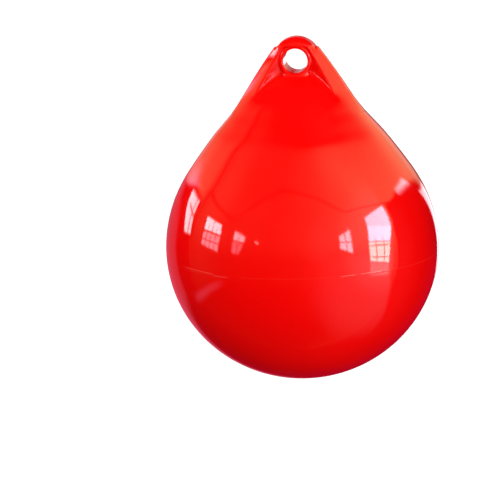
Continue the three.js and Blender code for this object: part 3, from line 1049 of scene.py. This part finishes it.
def make_world():
    world = bpy.data.worlds.new("hall")
    bpy.context.scene.world = world
    world.use_nodes = True
    sky = Sky(world.node_tree)
    x, y, z = sky.x, sky.y, sky.z
    front = sky.math("MULTIPLY", y, -1.0)
    azimuth = sky.math("MULTIPLY", sky.math("ARCTAN2", x, front), 180 / math.pi)
    height = sky.math("MULTIPLY", sky.math("ARCSINE", z), 180 / math.pi)

    turn = sky.math("DIVIDE", sky.math("ADD", azimuth, 180.0), 360.0)

    def along(stops, low, high, handle="AUTO_CLAMPED"):
        """A value that follows the azimuth through the given stops."""
        n = sky.node("ShaderNodeFloatCurve")
        curve = n.mapping.curves[0]
        for k, (a, v) in enumerate(stops):
            at = ((a + 180) / 360, (v - low) / (high - low))
            if k in (0, len(stops) - 1):
                curve.points[0 if k == 0 else -1].location = at
            else:
                curve.points.new(*at)
        for point in curve.points:
            point.handle_type = handle
        n.mapping.update()
        sky.put(turn, n.inputs["Value"])
        return sky.math("MULTIPLY_ADD", n.outputs["Value"], high - low, low)

    # lit ceiling: it ends above at the dark roof, and behind the beams below
    # at the eaves; its light grows towards the right
    roof = along([(-180, -10), (-150, 12), (-120, 33), (-105, 46), (-90, 53), (-60, 61), (-30, 66),
                  (0, 67.5), (30, 66.5), (60, 63), (90, 54), (110, 46), (130, 36), (150, 26),
                  (165, 12), (180, -10)], -90, 90)
    eaves = along([(-180, -14), (-150, 3), (-128, 17.5), (-108, 21), (-104.5, 20), (-103, -89),
                   (92.5, -89), (94.5, 26), (118, 24), (142, 14), (165, 0), (180, -14)], -90, 90,
                  "VECTOR")
    level = along([(-180, 0.3), (-150, 0.6), (-120, 0.72), (-108, 0.5), (-102, 0.24), (-88, 0.38),
                   (-60, 0.17), (-25, 0.13), (0, 0.21), (25, 0.36), (45, 0.68), (62, 1.0), (85, 1.35),
                   (110, 1.25), (130, 1.1), (150, 1.0), (180, 0.4)], 0, 2)
    blur = sky.math("MULTIPLY_ADD", sky.ramp(x, -0.25, -0.7), 2.6, 1.0)
    blur = sky.math("ADD", blur, sky.math("MULTIPLY", sky.ramp(x, 0.35, 0.7), 1.8))
    ceiling = sky.product(
        sky.ramp(sky.math("DIVIDE", sky.math("SUBTRACT", roof, height), blur), -3.0, 5.0),
        sky.ramp(sky.math("SUBTRACT", height, eaves), -1.0, 2.0),
        level, sky.math("MULTIPLY_ADD", sky.ramp(height, -6.0, 16.0), 0.72, 0.28),
        sky.math("MULTIPLY_ADD", sky.ramp(height, -30.0, -8.0), 0.85, 0.15))
    gable = [sky.line((-103, 27.7), (-59, 24.6), 0.034), sky.line((-59, 24.6), (-20, 55.5), 0.034),
             sky.line((-20, 55.5), (51.7, 34.3), 0.034), sky.line((51.7, 34.3), (104, 24.0), 0.024),
             sky.line((-101.5, 48), (-102.5, 2.0), 0.034)]
    beams = None
    for g in gable:
        beams = g if beams is None else sky.math("MAXIMUM", beams, g)
    ceiling = sky.product(ceiling, sky.math("SUBTRACT", 1.0, sky.math("MULTIPLY", beams, 0.6)))
    out = sky.tint((1.3, 1.0, 0.5), ceiling)

    # glow round the right-hand windows and on the ground under them, cut off
    # by something dark that stands on the right
    def beside(v):
        n = sky.node("ShaderNodeVectorMath", operation="DOT_PRODUCT")
        sky.link(sky.dir, n.inputs[0])
        n.inputs[1].default_value = v
        return n.outputs["Value"]
    open_side = sky.ramp(sky.math("MAXIMUM", beside((0.0, -0.995, 0.097)), beside((-0.181, -0.893, -0.411))),
                         -0.03, 0.05)
    near = sky.disc((77, 6), 12, 44)
    far = sky.disc((70, 4), 5, 78)
    ground = sky.product(sky.disc((70, -22), 4, 54), sky.ramp(height, 4.0, -6.0))
    glow = sky.math("ADD", sky.math("MULTIPLY", near, 0.60), sky.math("MULTIPLY", far, 0.07))
    glow = sky.math("ADD", glow, sky.math("MULTIPLY", ground, 0.36))
    glow = sky.product(glow, sky.math("MULTIPLY_ADD", open_side, 0.90, 0.10))
    out = sky.add(out, sky.tint((1.0, 0.95, 1.05), glow))
    out = sky.add(out, sky.tint((1.0, 0.9, 0.95),
                                sky.math("MULTIPLY", sky.disc((30, 12), 3, 26), 0.14)))
    # a low wall on the left with a lighter edge, a dim violet door beyond it
    out = sky.add(out, sky.times((0.6, 0.30, 0.5), sky.streak((-116, -28), (-64, -18), 0.07)))
    out = sky.add(out, sky.times((0.34, 0.12, 0.18),
                                 sky.inside([(-172, 6), (-128, 2), (-126, -24), (-172, -26)], 0.14)))
    # dim light from the ground behind, which keeps the lower rim from going dark
    out = sky.add(out, sky.tint((0.60, 0.0, 0.02),
                                sky.product(sky.ramp(y, 0.45, 0.95), sky.ramp(x, 0.75, 0.35),
                                            sky.ramp(height, -4.0, -18.0))))
    # the white ground behind the fender shows in its right-hand rim
    strip = sky.inside([(147.5, 14), (152, 14.5), (162, 6.5), (171, -3), (178, -6), (176, -14), (168, -12), (158, -2),
                         (150, 5)], 0.03)
    out = sky.add(out, sky.tint((2.6, 2.2, 2.4), strip))
    out = sky.add(out, sky.tint((0.35, 0.33, 0.33),
                                sky.product(sky.ramp(y, 0.90, 0.96), sky.ramp(height, 12.0, 10.0),
                                            sky.ramp(height, -4.0, 2.0))))
    out = sky.add(out, (0.012, 0.004, 0.012))

    # windows: corners, edge softness, colour
    windows = [
        ([(-127.3, 14.1), (-108.7, 19.8), (-104.7, 3.3), (-113.9, 2.1)], 0.03, (8.5, 7.0, 7.6)),
        ([(-148.1, 5.1), (-128.6, 17.7), (-121.4, 20.2), (-135.8, 11.0)], 0.06, (2.4, 1.6, 2.2)),
        ([(-89.1, 18.6), (-69.4, 18.5), (-68.1, 11.9), (-87.6, 10.6)], 0.03, (16.0, 13.0, 14.5)),
        ([(-87.6, 9.9), (-68.2, 11.1), (-69.1, 0.5), (-88.3, 2.3)], 0.03, (6.5, 4.4, 5.2)),
        ([(-53.6, 17.6), (-43.5, 14.9), (-44.5, 10.9), (-53.5, 11.3)], 0.03, (11.0, 8.6, 9.6)),
        ([(-53.7, 10.6), (-44.8, 10.1), (-48.2, 2.2), (-54.2, 2.8)], 0.04, (3.6, 2.3, 2.8)),
        ([(-34.2, 13.6), (-30.9, 12.8), (-31.6, 11.4), (-34.5, 12.2)], 0.02, (6.0, 5.0, 5.0)),
        ([(40.1, 16.8), (50.5, 20.1), (49.9, 2.6), (38.7, 6.8)], 0.03, (13.0, 10.5, 13.0)),
        ([(68.0, 25.2), (92.1, 26.7), (91.5, 12.6), (67.6, 18.3)], 0.035, (15.0, 12.5, 17.5)),
        ([(67.6, 18.3), (91.5, 12.6), (86.3, 3.2), (65.7, 8.0)], 0.025, (19.0, 16.5, 22.5)),
        ([(65.7, 8.0), (86.3, 3.2), (83.9, -9.7), (65.2, -5.6)], 0.03, (17.0, 14.5, 13.5)),
        ([(65.4, -5.8), (84.0, -9.9), (84.5, -17.5), (66.0, -17.0)], 0.05, (2.8, 2.2, 2.4)),
        ([(136.7, 20.0), (141.8, 13.9), (119.1, 22.3), (117.9, 24.9)], 0.05, (6.0, 4.6, 5.6)),
    ]
    bars = [
        ((-89.0, 10.4), (-67.5, 11.4), 0.016),
        ((-83.5, 10.0), (-83.8, 1.0), 0.014), ((-78.6, 10.4), (-78.8, 0.5), 0.012),
        ((-73.4, 10.8), (-73.6, 0.3), 0.012), ((-88.0, 5.6), (-68.6, 5.6), 0.012),
        ((-79.0, 19.5), (-78.7, 11.0), 0.011),
        ((38.5, 11.6), (51.0, 11.2), 0.014), ((45.2, 19.5), (44.6, 4.5), 0.014),
        ((-117.0, 12.6), (-105.5, 11.4), 0.020), ((-112.5, 18.0), (-109.0, 2.5), 0.018),
        ((-54.5, 10.9), (-43.5, 10.6), 0.014), ((-49.3, 10.0), (-50.0, 2.4), 0.016),
        ((72.0, 4.0), (72.0, -4.5), 0.016), ((79.5, 3.0), (79.0, -6.0), 0.016),
        ((71.0, 4.2), (81.0, 2.6), 0.014), ((70.5, -3.6), (80.5, -5.4), 0.014),
        ((66.5, 8.0), (87.5, 3.4), 0.010),
    ]
    glass = None
    for corners, soft, colour in windows:
        g = sky.tint(colour, sky.inside(corners, soft))
        glass = g if glass is None else sky.add(glass, g)
    frames = None
    for p, q, w in bars:
        b = sky.line(p, q, w)
        frames = b if frames is None else sky.math("MAXIMUM", frames, b)
    glass = sky.times(glass, sky.math("SUBTRACT", 1.0, sky.math("MULTIPLY", frames, 0.8)))
    gloss = sky.add(out, glass)

    # soft light for the colour itself: strongest from the front and sides, weak
    # from under the fender and from the back right
    def term(k, *parts):
        return sky.math("MULTIPLY", sky.product(*parts), k)
    soft = sky.math("MULTIPLY_ADD", x, -0.35, 1.10)
    soft = sky.math("ADD", soft, sky.math("MULTIPLY", y, -0.30))
    soft = sky.math("ADD", soft, sky.math("MULTIPLY", z, 0.42))
    soft = sky.math("ADD", soft, term(-1.3, x, y))
    soft = sky.math("ADD", soft, term(-2.2, x, sky.math("MINIMUM", z, 0.0)))
    soft = sky.math("MAXIMUM", soft, 0.05)
    soft = sky.tint((1.0, 1.0, 1.0), soft)

    path = sky.node("ShaderNodeLightPath")
    mix_gloss = sky.node("ShaderNodeMix", data_type="RGBA")
    sky.link(path.outputs["Is Glossy Ray"], mix_gloss.inputs[0])
    sky.link(soft, mix_gloss.inputs[6])
    sky.link(gloss, mix_gloss.inputs[7])
    mix_seen = sky.node("ShaderNodeMix", data_type="RGBA")
    sky.link(path.outputs["Is Camera Ray"], mix_seen.inputs[0])
    sky.link(mix_gloss.outputs[2], mix_seen.inputs[6])
    mix_seen.inputs[7].default_value = (1, 1, 1, 1)
    back = sky.node("ShaderNodeBackground")
    back.inputs["Strength"].default_value = 1.0
    sky.link(mix_seen.outputs[2], back.inputs["Color"])
    out = sky.node("ShaderNodeOutputWorld")
    sky.link(back.outputs[0], out.inputs["Surface"])
    return world


world = make_world()

scene = bpy.context.scene
scene.view_settings.view_transform = "Standard"
scene.view_settings.look = "None"
scene.view_settings.exposure = 0.0
scene.view_settings.gamma = 1.0
